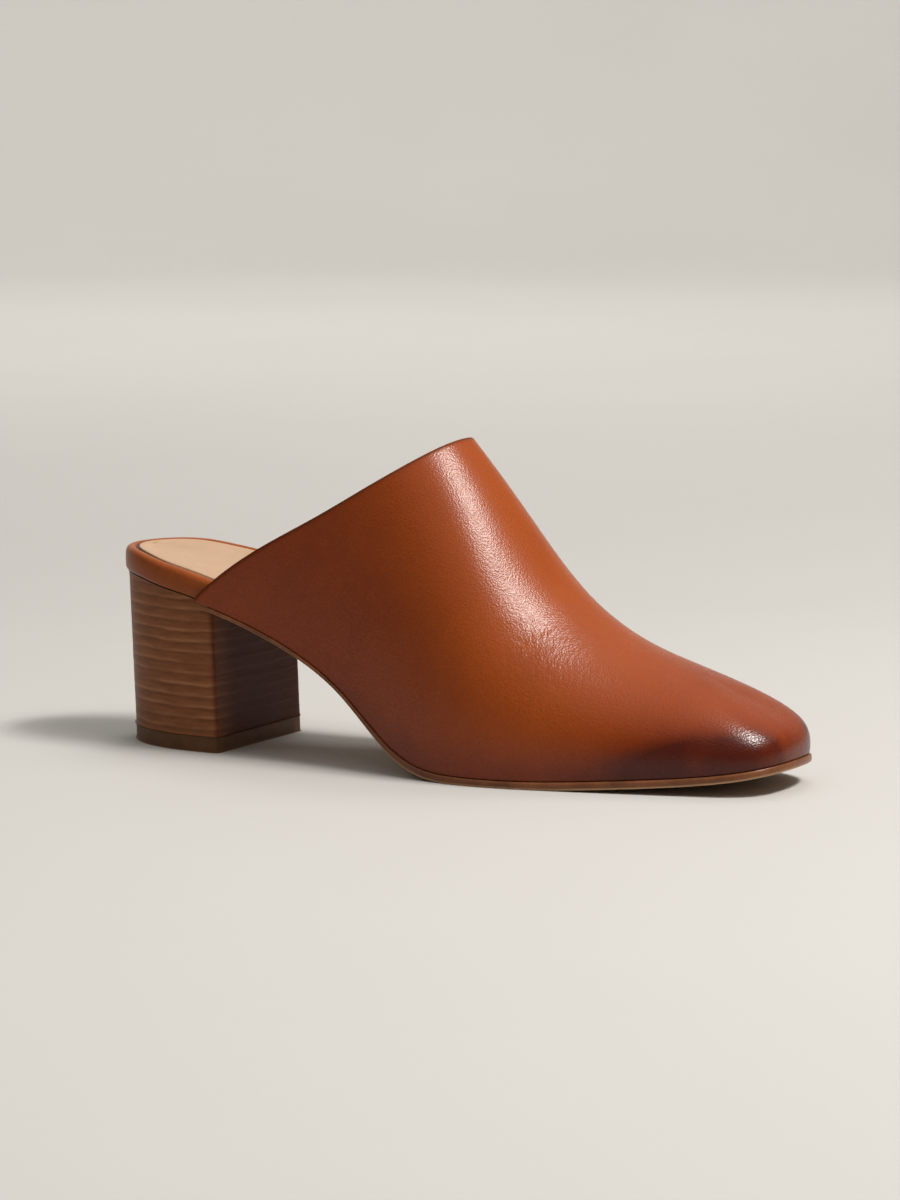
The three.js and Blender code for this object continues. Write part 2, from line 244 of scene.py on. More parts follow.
def outline(section, side, grow=0.0):
    """Points of the footbed's outline, moved outwards by grow."""
    section = np.asarray(section, float)
    t = section if side == OUTER else LOOP - section
    dx, dy = outline_x(t, True), outline_y(t, True)
    length = np.hypot(dx, dy)
    return np.stack([outline_x(t) - dy / length * grow, outline_y(t) + dx / length * grow], -1)


def last_point(section, q, side):
    """The upper's outer face: q runs from the lower edge, 0, to the crest, 1."""
    section, q = np.broadcast_arrays(np.asarray(section, float), np.asarray(q, float))
    foot = outline(section, side, WALL + GAP)
    foot_z = seat_line(foot[..., 0])
    crest = np.stack([r(section) for r in ridge], -1)
    inward = crest[..., :2] - foot
    width = np.linalg.norm(inward, axis=-1, keepdims=True)
    inward = inward / width
    along = np.hypot(section, 1)
    ridge_slope = ridge[2](along, True) / ridge[0](along, True)
    lean = swell[side](section)[..., None]
    flat = crown[side](section)[..., None] * width
    low = np.concatenate([foot, foot_z[..., None]], -1)
    wall_z = foot_z + fullness[side](section) * (crest[..., 2] - foot_z)
    wall = np.concatenate([foot - inward * lean, wall_z[..., None]], -1)
    top_z = crest[..., 2] - inward[..., 0] * flat[..., 0] * ridge_slope
    top = np.concatenate([crest[..., :2] - inward * flat, top_z[..., None]], -1)
    q = q[..., None]
    p = 1 - q
    return low * p**3 + 3 * wall * p * p * q + 3 * top * p * q * q + crest * q**3


def topline_edge(side, across):
    """The open edge as evenly spaced pairs of height and section."""
    q = np.linspace(0, 1, TOPLINE_SAMPLES) ** TOPLINE_CROWDING
    low, high = np.full_like(q, CUT_FROM_ROW), np.full_like(q, float(BREAST_ROW))
    for _ in range(BISECTIONS):
        middle = (low + high) / 2
        p = last_point(middle, q, side)
        below = p[:, 2] < topline(p[:, 0])
        low, high = np.where(below, middle, low), np.where(below, high, middle)
    p = last_point(low, q, side)
    travelled = np.r_[0, np.cumsum(np.linalg.norm(np.diff(p, axis=0), axis=1))]
    want = np.linspace(0, travelled[-1], across + 1)
    return np.interp(want, travelled, q), np.interp(want, travelled, low)


# The frame says where the last's axes lie: the outsole's tip and sides are in both.
ledge_outline = [
    outline(np.linspace(0, BACK_ROW, SAMPLES), side, WALL + GAP + OUTSOLE_LEDGE)
    for side in (OUTER, INNER)
]
outsole_low, outsole_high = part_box("outsole")
SHIFT = np.array([
    outsole_high.x / MM - ledge_outline[OUTER][:, 0].max(),
    (outsole_low.y + outsole_high.y) / 2 / MM
    - (ledge_outline[OUTER][:, 1].min() + ledge_outline[INNER][:, 1].max()) / 2,
    0.0,
])


# ---------------------------------------------------------------- mesh code

def make_piece(name, points, faces, material, slot, replaced=(), sharp=40, **attributes):
    """A mesh piece from points in last millimetres, riding on the one body."""
    mesh = bpy.data.meshes.new(name)
    mesh.from_pydata(((points + SHIFT) * MM).tolist(), [], faces)
    for key, values in attributes.items():
        layer = mesh.attributes.new(key, "FLOAT", "POINT")
        layer.data.foreach_set("value", np.asarray(values, np.float32))
    mesh.polygons.foreach_set("use_smooth", [True] * len(mesh.polygons))
    mesh.set_sharp_from_angle(angle=math.radians(sharp))
    mesh.materials.append(material)
    mesh.validate()
    piece = bpy.data.objects.new(name, mesh)
    bpy.context.scene.collection.objects.link(piece)
    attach(piece, "root")
    if replaced:
        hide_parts(*replaced)
    return piece


def vertex_normals(points, quads):
    a, b, c, d = (points[quads[:, i]] for i in range(4))
    face = np.cross(c - a, d - b)
    normals = np.zeros_like(points)
    for i in range(4):
        np.add.at(normals, quads[:, i], face)
    return normals / np.linalg.norm(normals, axis=1, keepdims=True)


class Sheet:
    """The upper's surface as a grid: outer topline, toe tip, inner topline; edge to crest."""

    def __init__(self, lengthwise, across, reach=1.0):
        self.lengthwise = lengthwise
        k = np.arange(-lengthwise, lengthwise + 1)
        v = np.abs(k)[:, None] / lengthwise * reach
        w = np.linspace(0, 1, across + 1)[None]
        edges = [topline_edge(side, across) for side in (OUTER, INNER)]
        grid = np.zeros((len(k), across + 1, 3))
        section, height = np.zeros(grid.shape[:2]), np.zeros(grid.shape[:2])
        for side, rows in ((OUTER, k <= 0), (INNER, k > 0)):
            q_edge, section_edge = edges[side]
            section_edge = section_edge.copy()
            section_edge[-1] = edges[OUTER][1][-1]
            section[rows] = v[rows] * section_edge
            height[rows] = w * (1 - v[rows] ** 2) + q_edge * v[rows] ** 2
            grid[rows] = last_point(section[rows], height[rows], side)
        ids = np.arange(grid.shape[0] * grid.shape[1]).reshape(grid.shape[:2])
        ids[lengthwise + 1 :, -1] = ids[:lengthwise, -1][::-1]  # the crest is shared
        used = np.unique(ids)
        self.ids = np.searchsorted(used, ids)
        self.points = grid.reshape(-1, 3)[used]
        self.section = section.reshape(-1)[used]
        self.height = height.reshape(-1)[used]
        self.side = np.repeat(k > 0, across + 1)[used]
        i = self.ids
        self.quads = np.stack([i[:-1, :-1], i[1:, :-1], i[1:, 1:], i[:-1, 1:]], -1).reshape(-1, 4)
        self.rim = np.concatenate([i[:, 0], i[-1, 1:], i[0, -2:0:-1]])
        self.normals = vertex_normals(self.points, self.quads)

    def shell(self, points, inset, wall, bulge, turns=6):
        """Points and faces of a wall under the sheet, inset from it, with a rounded edge."""
        normals = vertex_normals(points, self.quads)
        outer = points - normals * inset
        inner = outer - normals * wall
        n = len(points)
        ring = self.rim
        tangent = outer[np.roll(ring, -1)] - outer[np.roll(ring, 1)]
        tangent /= np.linalg.norm(tangent, axis=1, keepdims=True)
        away = np.cross(tangent, normals[ring])
        centre = outer[ring] - normals[ring] * wall / 2
        stacked, rows = [outer, inner], [ring]
        for step in range(1, turns):
            turn = math.pi * step / turns
            offset = normals[ring] * math.cos(turn) * wall / 2 + away * math.sin(turn) * bulge
            rows.append(2 * n + (step - 1) * len(ring) + np.arange(len(ring)))
            stacked.append(centre + offset)
        rows.append(n + ring)
        quads = [self.quads, (n + self.quads)[:, ::-1]]
        for first, second in zip(rows[:-1], rows[1:]):
            quads.append(np.stack([np.roll(first, -1), first, second, np.roll(second, -1)], -1))
        # Only two quads meet at the crest's front end, so they are split from it: split the
        # other way, they would leave a folded sliver.
        front = self.ids[self.lengthwise, -1]
        faces = []
        for quad in np.concatenate(quads).tolist():
            tips = [corner for corner in quad if corner in (front, n + front)]
            if tips:
                at = quad.index(tips[0])
                quad = quad[at:] + quad[:at]
                faces += [quad[:3], [quad[0], quad[2], quad[3]]]
            else:
                faces.append(quad)
        return np.concatenate(stacked), faces


def rows_to_faces(rows):
    """Joins rows of vertex ids; a row of one id closes to a point."""
    faces = []
    for a, b in zip(rows[:-1], rows[1:]):
        if len(a) == 1 and len(b) == 1:
            continue
        if len(a) == 1:
            faces += [[a[0], b[i], b[i + 1]] for i in range(len(b) - 1)]
        elif len(b) == 1:
            faces += [[a[i], b[0], a[i + 1]] for i in range(len(a) - 1)]
        else:
            faces += [[a[i], b[i], b[i + 1], a[i + 1]] for i in range(len(a) - 1)]
    return faces


def slab(sections, rings, across=8, dish=0.0):
    """A closed solid from rings of (grow, height function), lowest first.

    dish lowers the middle of the top face by that much."""
    count = len(sections)
    front_point, back_point = sections[0] == 0, sections[-1] == BACK_ROW
    inner = np.arange(count)[(1 if front_point else 0) : (count - 1 if back_point else count)]
    loop = [(i, OUTER) for i in range(count)] + [(i, INNER) for i in inner[::-1]]
    size = len(loop)
    place = {key: at for at, key in enumerate(loop)}
    for end, closed in ((0, front_point), (count - 1, back_point)):
        if closed:
            place[(end, INNER)] = place[(end, OUTER)]
    points = []
    for grow, height in rings:
        xy = [outline(sections, side, grow) for side in (OUTER, INNER)]
        flat = np.array([xy[side][i] for i, side in loop])
        points.append(np.column_stack([flat, height(flat[:, 0])]))
    faces = []
    for r in range(len(rings) - 1):
        low, high = r * size, (r + 1) * size
        for a in range(size):
            b = (a + 1) % size
            faces.append([low + b, low + a, high + a, high + b])
    total = len(rings) * size
    extra = []
    for base, up in ((0, False), ((len(rings) - 1) * size, True)):
        ring = points[0] if base == 0 else points[-1]
        rows = []
        for i in range(count):
            left, right = place[(i, OUTER)], place[(i, INNER)]
            if left == right:
                rows.append([base + left])
                continue
            row = [base + left]
            for step in range(1, across):
                s = step / across
                p = ring[left] * (1 - s) + ring[right] * s
                if up:
                    p = p - np.array([0, 0, dish * (4 * s * (1 - s)) ** 0.7])
                row.append(total + len(extra))
                extra.append(p)
            rows.append(row + [base + right])
        cap = rows_to_faces(rows)
        faces += [face[::-1] for face in cap] if up else cap
        if not back_point:
            # The cut end's wall takes in the points along the cap's last row.
            low, high = (len(rings) - 2 if up else 0) * size, (len(rings) - 1 if up else 1) * size
            a, b = place[(count - 1, OUTER)], place[(count - 1, INNER)]
            faces.remove([low + b, low + a, high + a, high + b])
            row = rows[-1]
            faces.append([low + b, low + a] + row if up else row[::-1] + [high + a, high + b])
    if extra:
        points.append(np.array(extra))
    return np.concatenate(points), faces


def sections_between(low, high, step):
    return np.linspace(low, high, int(math.ceil((high - low) / step)) + 1)


def section_at(x):
    """The section at which the outline passes x, behind the ball."""
    sections = np.linspace(CUT_FROM_ROW, BACK_ROW, 4001)
    return float(np.interp(-x, -outline_x(sections), sections))


def footbed_top(x):
    thin = smoothstep(x, *FOOTBED_THINS)
    return seat_line(x) + FOOTBED_SEAT + (FOOTBED_FOREPART - FOOTBED_SEAT) * thin


# ---------------------------------------------------------------- materials

def new_material(name):
    material = bpy.data.materials.new(name)
    material.use_nodes = True
    tree = material.node_tree
    return material, tree, tree.nodes["Principled BSDF"]


def add(tree, kind, *links, **settings):
    """Adds a node. links are (input, value or output socket) pairs."""
    node = tree.nodes.new(kind)
    for key, value in settings.items():
        setattr(node, key, value)
    for socket, value in links:
        if isinstance(value, bpy.types.NodeSocket):
            tree.links.new(value, node.inputs[socket])
        else:
            node.inputs[socket].default_value = value
    return node


def noise(tree, place, size, detail=3.0, roughness=0.5, distortion=0.0):
    """Noise with features of about size metres; the output is its factor."""
    return add(
        tree, "ShaderNodeTexNoise", ("Vector", place), ("Scale", 1 / size), ("Detail", detail),
        ("Roughness", roughness), ("Distortion", distortion),
    ).outputs["Fac"]


def cells(tree, place, size):
    node = add(tree, "ShaderNodeTexVoronoi", ("Vector", place), ("Scale", 1 / size))
    return node.outputs["Distance"]


def maths(tree, operation, a, b=0.0):
    return add(tree, "ShaderNodeMath", (0, a), (1, b), operation=operation).outputs[0]


def ramp(tree, factor, stops, colour=True):
    node = add(tree, "ShaderNodeValToRGB", ("Fac", factor))
    elements = node.color_ramp.elements
    while len(elements) < len(stops):
        elements.new(0.5)
    for element, (at, value) in zip(elements, stops):
        element.position = at
        element.color = (*value, 1) if colour else (value, value, value, 1)
    return node.outputs["Color"]


def mix(tree, factor, a, b, blend="MIX"):
    node = add(tree, "ShaderNodeMix", data_type="RGBA", blend_type=blend)
    for socket, value in (("Factor", factor), ("A", a), ("B", b)):
        kind = "VALUE" if socket == "Factor" else "RGBA"
        target = next(s for s in node.inputs if s.name == socket and s.type == kind)
        if isinstance(value, bpy.types.NodeSocket):
            tree.links.new(value, target)
        else:
            target.default_value = value if socket == "Factor" else (*value, 1)
    return next(s for s in node.outputs if s.type == "RGBA")


def bump(tree, shader, *layers):
    """Chains bumps, each (height socket, depth in metres)."""
    normal = None
    for height, depth in layers:
        node = add(tree, "ShaderNodeBump", ("Height", height), ("Distance", depth), ("Strength", 1.0))
        if normal is not None:
            tree.links.new(normal, node.inputs["Normal"])
        normal = node.outputs["Normal"]
    tree.links.new(normal, shader.inputs["Normal"])


def object_place(tree):
    return add(tree, "ShaderNodeTexCoord").outputs["Object"]


def upper_leather():
    """Polished calf: orange tan on the crest, dark plum brown round the edges, partly a burnished finish and
    partly painted shade.
    """
    material, tree, shader = new_material("burnished_calf")
    place = object_place(tree)
    burnish = add(tree, "ShaderNodeAttribute", attribute_name="burnish").outputs["Fac"]
    edge = add(tree, "ShaderNodeAttribute", attribute_name="edge").outputs["Fac"]
    flex = add(tree, "ShaderNodeAttribute", attribute_name="flex").outputs["Fac"]
    cloud = noise(tree, place, 0.026, 4, 0.55, 0.4)
    mottle = noise(tree, place, 0.005, 5, 0.6, 0.2)
    grain = cells(tree, place, 0.00062)
    # The darkening read here is partly burnished finish and partly painted shade.
    shade = maths(tree, "ADD", burnish, maths(tree, "MULTIPLY", maths(tree, "SUBTRACT", cloud, 0.5), 0.34))
    shade = maths(tree, "ADD", shade, maths(tree, "MULTIPLY", maths(tree, "SUBTRACT", mottle, 0.5), 0.14))
    colour = ramp(tree, shade, [
        (0.0, (0.320, 0.080, 0.012)),
        (0.25, (0.272, 0.051, 0.005)),
        (0.5, (0.228, 0.038, 0.004)),
        (0.75, (0.162, 0.023, 0.003)),
        (1.0, (0.065, 0.008, 0.003)),
    ])
    pores = ramp(tree, grain, [(0.0, 0.78), (0.4, 1.0)], colour=False)
    colour = mix(tree, 0.55, colour, pores, "MULTIPLY")
    # Painted shade: near-black along the topline and on the rolled edges.
    colour = mix(tree, edge, colour, (0.050, 0.012, 0.005))
    tree.links.new(colour, shader.inputs["Base Color"])
    polish = maths(tree, "SUBTRACT", 0.25, maths(tree, "MULTIPLY", burnish, 0.07))
    gloss = maths(tree, "ADD", polish, maths(tree, "MULTIPLY", mottle, 0.13))
    tree.links.new(gloss, shader.inputs["Roughness"])
    kept = maths(tree, "MULTIPLY", maths(tree, "SUBTRACT", 1.0, edge), 0.28)
    tree.links.new(kept, shader.inputs["Specular IOR Level"])
    # Fine wrinkles run the way the vamp folds: across the shoe and down its sides.
    slant = add(
        tree, "ShaderNodeMapping", ("Vector", place),
        ("Rotation", (0, 0.5, 0)), ("Scale", (1, 0.45, 0.35)),
    )
    wrinkles = noise(tree, slant.outputs[0], 0.0016, 3, 0.5, 0.6)
    wrinkles = maths(tree, "MULTIPLY", wrinkles, flex)
    fine = noise(tree, place, 0.0013, 4, 0.6)
    bump(tree, shader, (cloud, 0.00012), (wrinkles, 0.00019), (fine, 0.00003), (grain, 0.00006))
    return material


def rim_leather():
    material, tree, shader = new_material("rim_leather")
    place = object_place(tree)
    edge = add(tree, "ShaderNodeAttribute", attribute_name="edge").outputs["Fac"]
    cloud = noise(tree, place, 0.012, 4, 0.55, 0.3)
    grain = cells(tree, place, 0.0006)
    colour = ramp(tree, cloud, [(0.25, (0.205, 0.047, 0.009)), (0.75, (0.290, 0.070, 0.015))])
    # Where the edge value is set, the colour is painted near-black: shade in the gaps beside the sock and
    # above the heel.
    colour = mix(tree, edge, colour, (0.035, 0.012, 0.007))
    tree.links.new(colour, shader.inputs["Base Color"])
    gloss = maths(tree, "ADD", 0.26, maths(tree, "MULTIPLY", cloud, 0.12))
    tree.links.new(gloss, shader.inputs["Roughness"])
    shader.inputs["Specular IOR Level"].default_value = 0.14
    fine = noise(tree, place, 0.0012, 4, 0.6)
    bump(tree, shader, (fine, 0.00006), (grain, 0.00004))
    return material


def sock_leather():
    material, tree, shader = new_material("sock_leather")
    place = object_place(tree)
    cloud = noise(tree, place, 0.03, 4, 0.55, 0.3)
    speck = noise(tree, place, 0.0009, 3, 0.6)
    shade = maths(tree, "ADD", maths(tree, "MULTIPLY", cloud, 0.75), maths(tree, "MULTIPLY", speck, 0.25))
    colour = ramp(tree, shade, [(0.3, (0.36, 0.220, 0.130)), (0.7, (0.46, 0.300, 0.190))])
    tree.links.new(colour, shader.inputs["Base Color"])
    shader.inputs["Roughness"].default_value = 0.55
    shader.inputs["Sheen Weight"].default_value = 0.08
    grain = cells(tree, place, 0.0007)
    bump(tree, shader, (speck, 0.00005), (grain, 0.00005))
    return material


def sole_leather():
    """Vegetable-tanned leather: a stained, waxed edge over a thin raw line, paler underneath."""
    material, tree, shader = new_material("sole_leather")
    place = object_place(tree)
    raw = add(tree, "ShaderNodeAttribute", attribute_name="raw").outputs["Fac"]
    cloud = noise(tree, place, 0.009, 4, 0.6, 0.3)
    fibre = noise(tree, place, 0.0007, 5, 0.7)
    stained = ramp(tree, cloud, [(0.3, (0.10, 0.033, 0.013)), (0.7, (0.20, 0.070, 0.028))])
    natural = ramp(tree, fibre, [(0.3, (0.42, 0.235, 0.120)), (0.7, (0.58, 0.36, 0.20))])
    tree.links.new(mix(tree, raw, stained, natural), shader.inputs["Base Color"])
    gloss = maths(tree, "ADD", 0.30, maths(tree, "MULTIPLY", raw, 0.3))
    tree.links.new(gloss, shader.inputs["Roughness"])
    shader.inputs["Specular IOR Level"].default_value = 0.25
    bump(tree, shader, (fibre, 0.00008), (cells(tree, place, 0.0008), 0.00003))
    return material


def stacked_leather():
    """Thin layers pressed into a block: brown bands with fine paler lines that waver."""
    material, tree, shader = new_material("stacked_leather")
    place = object_place(tree)
    split = add(tree, "ShaderNodeSeparateXYZ", ("Vector", place))
    wave = noise(tree, place, 0.020, 2, 0.5)
    ripple = noise(tree, place, 0.006, 3, 0.5)
    height = maths(tree, "ADD", split.outputs["Z"], maths(tree, "MULTIPLY", wave, 0.0018))
    height = maths(tree, "ADD", height, maths(tree, "MULTIPLY", ripple, 0.0007))
    layer = maths(tree, "FRACT", maths(tree, "DIVIDE", maths(tree, "SUBTRACT", height, TIP * MM), LAYER * MM))
    flat = add(tree, "ShaderNodeMapping", ("Vector", place), ("Scale", (1, 1, 7)))
    fibre = noise(tree, flat.outputs[0], 0.008, 5, 0.62, 0.2)
    body = ramp(tree, fibre, [
        (0.25, (0.145, 0.049, 0.019)),
        (0.5, (0.195, 0.070, 0.028)),
        (0.75, (0.250, 0.094, 0.040)),
    ])
    line = ramp(tree, layer, [
        (0.0, 0.1), (0.10, 0.8), (0.20, 1.0), (0.38, 0.25), (0.60, 0.0), (0.90, 0.0), (1.0, 0.1),
    ], colour=False)
    patches = add(tree, "ShaderNodeMapping", ("Vector", place), ("Scale", (1, 1, 3)))
    patchy = noise(tree, patches.outputs[0], 0.016, 3, 0.5)
    fade = ramp(tree, patchy, [(0.36, 0.05), (0.62, 0.75)], colour=False)
    colour = mix(tree, maths(tree, "MULTIPLY", line, fade), body, (0.345, 0.155, 0.074))
    dark = ramp(tree, layer, [(0.6, 1.0), (0.95, 0.80)], colour=False)
    colour = mix(tree, 1.0, colour, dark, "MULTIPLY")
    # Painted shade: the breast is darkened nearly black.
    stain = add(tree, "ShaderNodeAttribute", attribute_name="stain").outputs["Fac"]
    colour = mix(tree, stain, colour, (0.060, 0.010, 0.002))
    tree.links.new(colour, shader.inputs["Base Color"])
    gloss = maths(tree, "ADD", 0.34, maths(tree, "MULTIPLY", fibre, 0.18))
    tree.links.new(gloss, shader.inputs["Roughness"])
    shader.inputs["Specular IOR Level"].default_value = 0.09
    bump(tree, shader, (fibre, 0.00010), (line, 0.00004))
    return material


def lift_rubber():
    material, tree, shader = new_material("top_lift")
    place = object_place(tree)
    cloud = noise(tree, place, 0.006, 4, 0.6)
    colour = ramp(tree, cloud, [(0.3, (0.085, 0.036, 0.013)), (0.7, (0.125, 0.054, 0.020))])
    tree.links.new(colour, shader.inputs["Base Color"])
    gloss = maths(tree, "ADD", 0.40, maths(tree, "MULTIPLY", cloud, 0.15))
    tree.links.new(gloss, shader.inputs["Roughness"])
    shader.inputs["Specular IOR Level"].default_value = 0.2
    bump(tree, shader, (noise(tree, place, 0.0008, 3), 0.00005))
    return material


# ---------------------------------------------------------------- upper

def crease_depth(points, side):
    """How far each point of the upper sinks, from the listed troughs."""
    depth = np.zeros(len(points))
    for crease in CREASES:
        t = np.linspace(0, 1, 25)
        (s0, q0), (s1, q1) = crease["start"], crease["end"]
        bow = 0.12 * np.sin(math.pi * t)
        path = last_point(s0 + (s1 - s0) * t + bow, q0 + (q1 - q0) * t, crease["side"])
        near = np.full(len(points), 1e9)
        taper = np.zeros(len(points))
        for p, fade in zip(path, np.sin(math.pi * t) ** 0.8):
            distance = np.linalg.norm(points - p, axis=1)
            closer = distance < near
            near = np.where(closer, distance, near)
            taper = np.where(closer, fade, taper)
        scaled = near / crease["width"]
        profile = np.exp(-scaled**2) - 0.35 * np.exp(-((scaled - 1.9) ** 2) / 0.6)
        depth += np.where(side == crease["side"], crease["depth"], 0) * taper * profile
    return depth


def burnish_of(points, height):
    """0 where the leather stays light, 1 where it is darkest: partly a burnished finish, partly painted shade
    along the lower edge, round the back and on the toe's sides.
    """
    x, above = points[:, 0], points[:, 2] - seat_line(points[:, 0])
    # Painted shade: the lower edge, the back and the toe's sides are darkened on top of the burnish.
    lower_edge = 0.34 * np.exp(-((above / 9) ** 2)) * smoothstep(x, 60, 150)
    toe_side = 0.62 * np.exp(-(((x - 222) / 24) ** 2)) * np.exp(-(((above - 5) / 8) ** 2))
    toe_side *= smoothstep(np.abs(points[:, 1] - 4.5), 6, 15)
    toe_cap = 0.26 * smoothstep(x, 150, 226)
    rear = 0.26 * (1 - smoothstep(x + 0.25 * above, 95, 178))
    # Painted light: the crest of the instep is made a little lighter.
    crest = -0.04 * smoothstep(height, 0.62, 1.0) * (1 - smoothstep(x, 150, 200))
    return np.clip(0.31 + lower_edge + toe_side + toe_cap + rear + crest, 0, 1)


def flex_of(points):
    """1 over the ball, where the leather has creased finely, fading out all round."""
    along = np.exp(-(((points[:, 0] - 163 + 0.25 * (points[:, 2] - 40)) / 15) ** 2))
    return along * smoothstep(points[:, 2], 14, 26) * (1 - smoothstep(points[:, 2], 46, 62))


def edge_darkness(sheet, points, reach):
    """1 at the topline, falling to 0 a few millimetres in; it sets how much painted shade darkens the leather
    there.
    """
    near = np.full(len(points), 1e9)
    for border in (points[sheet.ids[0]], points[sheet.ids[-1]]):
        for start, end in zip(border[:-1], border[1:]):
            run = end - start
            part = np.clip((points - start) @ run / max(run @ run, 1e-9), 0, 1)
            near = np.minimum(near, np.linalg.norm(points - start - part[:, None] * run, axis=1))
    return np.exp(-((near / reach) ** 2))


def build_upper():
    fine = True
    sheet = Sheet(*((200, 112) if fine else (90, 50)))
    sunk = crease_depth(sheet.points, sheet.side)
    points = sheet.points - sheet.normals * sunk[:, None]
    solid, faces = sheet.shell(points, 0.0, OUTER_LEATHER, 0.22)
    # Burnish with painted shade, and a little painted light on the crest, for each point.
    burnish = burnish_of(sheet.points, sheet.height)
    flex = flex_of(sheet.points)
    # The topline band and the rolled edge all round are painted dark: shade where the leather turns over, and
    # in the gap above the sole.
    edge = 0.75 * edge_darkness(sheet, sheet.points, 0.8)
    extra = len(solid) - 2 * len(points)
    rim_dark = np.full(extra, 0.8)
    make_piece(
        "upper_leather", solid, faces, upper_leather(), "upper_leather", ("upper",), sharp=60,
        burnish=np.concatenate([burnish, burnish, np.full(extra, 0.7)]),
        edge=np.concatenate([edge, edge, rim_dark]),
        flex=np.concatenate([flex, flex, np.zeros(extra)]),
    )
    inside = Sheet(90, 56, reach=0.996)
    sunk = crease_depth(inside.points, inside.side)
    points = inside.points - inside.normals * sunk[:, None]
    solid, faces = inside.shell(points, OUTER_LEATHER + 0.07, LINING, 0.2)
    make_piece("upper_lining", solid, faces, SOCK_LEATHER, "sock_leather", sharp=60)


# ---------------------------------------------------------------- footbed and sock

def build_footbed():
    def under_top(drop):
        return lambda x: footbed_top(x) - drop

    def over_seat(rise):
        return lambda x: seat_line(x) + rise

    rings = [
        (-1.4, over_seat(0.0)), (-0.6, over_seat(0.12)), (-0.15, over_seat(0.6)),
        (0.1, over_seat(1.4)), (0.2, lambda x: (seat_line(x) + footbed_top(x)) / 2 - 0.3),
        (0.1, under_top(1.9)), (-0.1, under_top(1.25)), (-0.45, under_top(0.62)),
        (-0.95, under_top(0.2)), (-1.6, under_top(0.0)), (-2.3, under_top(0.02)),
        (-2.75, under_top(0.16)), (-3.05, under_top(0.42)), (-3.25, under_top(0.8)),
        (-RIM_WIDTH, under_top(RIM_DEPTH)),
    ]
    sections = sections_between(0, BACK_ROW, 0.07)
    points, faces = slab(sections, rings)
    ring_size = 2 * len(sections) - 2
    # The two lowest rings, against the heel and sole, and the two innermost, tucked under the sock, are
    # painted near-black as shade in those gaps.
    edge = np.zeros(len(points))
    for r in (0, 1, len(rings) - 2, len(rings) - 1):
        edge[r * ring_size : (r + 1) * ring_size] = 0.85
    make_piece("footbed_wrap", points, faces, rim_leather(), "rim_leather", ("footbed",), edge=edge)


def build_sock():
    bottom = RIM_DEPTH - GAP

    def under_top(drop):
        return lambda x: footbed_top(x) - drop

    side = -RIM_WIDTH - 0.12
    rings = [
        (side - 0.3, under_top(bottom)), (side, under_top(bottom - 0.25)),
        (side, under_top(bottom - SOCK + 0.35)), (side - 0.15, under_top(bottom - SOCK + 0.12)),
        (side - 0.5, under_top(bottom - SOCK)), (side - 1.6, under_top(bottom - SOCK + 0.02)),
        (side - 3.0, under_top(bottom - SOCK + 0.15)),
    ]
    points, faces = slab(sections_between(0, BACK_ROW, 0.08), rings, across=18, dish=0.5)
    make_piece("insole_sock_leather", points, faces, SOCK_LEATHER, "sock_leather", ("insole_sock",))


# ---------------------------------------------------------------- outsole

def build_outsole():
    sections = sections_between(0, section_at(HEEL_BREAST + 2 * GAP), 0.06)
    ledge = WALL + GAP + OUTSOLE_LEDGE

    def under(x):
        thick = OUTSOLE_WAIST + (OUTSOLE_FOREPART - OUTSOLE_WAIST) * smoothstep(x, *OUTSOLE_THICKENS)
        return np.maximum(0, seat_line(x) - GAP - thick)

    def at(part):
        return lambda x: under(x) + (seat_line(x) - GAP - under(x)) * part

    profile = [
        (-1.2, 0.0), (-0.5, 0.015), (-0.22, 0.08), (-0.06, 0.2), (0.0, 0.34), (0.0, 0.5),
        (-0.03, 0.68), (-0.14, 0.84), (-0.36, 0.95), (-0.8, 1.0), (-3.2, 1.0),
    ]
    rings = [(ledge + inset, at(part)) for inset, part in profile]
    points, faces = slab(sections, rings)
    ring_size = 2 * len(sections) - 1
    raw = np.ones(len(points))
    for r, (_, part) in enumerate(profile):
        raw[r * ring_size : (r + 1) * ring_size] = 1 - smoothstep(part, 0.1, 0.3)
    make_piece("outsole_leather", points, faces, sole_leather(), "sole_leather", ("outsole",), raw=raw)


# ---------------------------------------------------------------- heel

def heel_loop(grow, spacing):
    """The heel's D, closed, evenly spaced and with eased corners, and its outward normals."""
    sections = np.linspace(section_at(HEEL_BREAST), BACK_ROW, 400)
    curve = np.concatenate([
        outline(sections, OUTER, grow - HEEL_INSET),
        outline(sections[-2::-1], INNER, grow - HEEL_INSET),
    ])
    curve = np.concatenate([curve, curve[:1]])
    travelled = np.r_[0, np.cumsum(np.linalg.norm(np.diff(curve, axis=0), axis=1))]
    count = int(travelled[-1] / spacing)
    at = np.linspace(0, travelled[-1], count, endpoint=False)
    loop = np.stack([np.interp(at, travelled, curve[:, i]) for i in (0, 1)], -1)
    for _ in range(2):
        loop = (np.roll(loop, 1, 0) + 2 * loop + np.roll(loop, -1, 0)) / 4
    tangent = np.roll(loop, -1, 0) - np.roll(loop, 1, 0)
    tangent /= np.linalg.norm(tangent, axis=1, keepdims=True)
    return loop, np.stack([tangent[:, 1], -tangent[:, 0]], -1)


def lean(z):
    return HEEL_LEAN * (1 - z / SEAT_HEIGHT)


